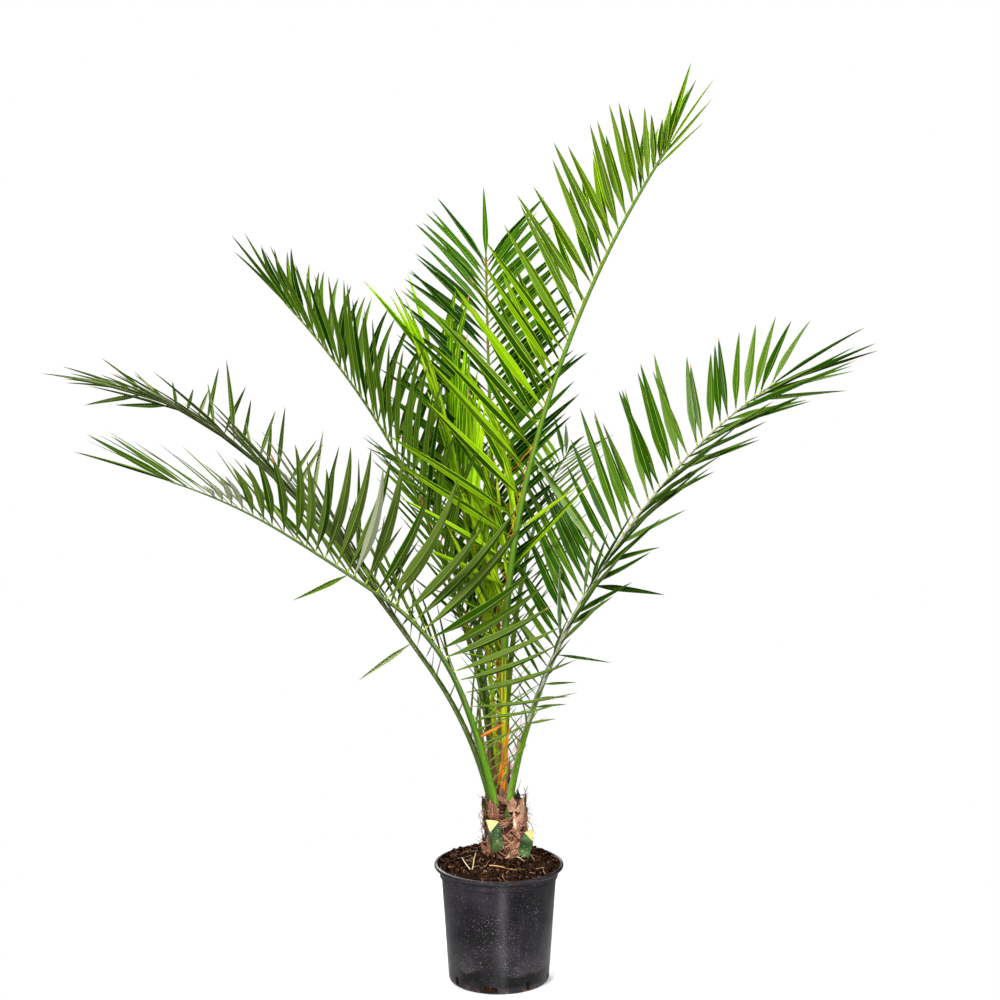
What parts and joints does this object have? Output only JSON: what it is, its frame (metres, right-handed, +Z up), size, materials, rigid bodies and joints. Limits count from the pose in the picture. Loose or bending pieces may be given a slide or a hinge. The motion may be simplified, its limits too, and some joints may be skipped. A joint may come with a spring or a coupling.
{
  "type": "potted date palm",
  "caption": "Young feather-leaved date palm with arching fronds of stiff leaflets on a short stem of old leaf bases, rooted in a round tapered nursery pot.",
  "frame": {"origin": "middle of the pot's flat underside, on the floor", "axes": "+Z up along the pot's axis, +X to the right and -Y towards the viewer of the picture"},
  "size_m": [1.5613, 1.1137, 1.8048],
  "materials": {
    "pot": "dusty satin black",
    "soil": "crumbly, damp and dark brown",
    "stem": "papery sheaths and cut green stubs",
    "spear": "smooth yellow-green leaf",
    "young_frond": "glossy bright green leaf",
    "frond": "satin dark green leaf"
  },
  "bodies": {
    "root": {"pot": "pot", "soil": "soil", "stem": "stem", "spear": "spear", "frond_right_tall": "young_frond", "frond_left_dark": "frond", "frond_left_high": "frond", "frond_left_low": "frond", "frond_right_low": "frond", "frond_back_upright": "young_frond", "frond_young": "young_frond", "frond_back_right": "frond", "frond_back_left": "frond"}
  },
  "joints": []
}
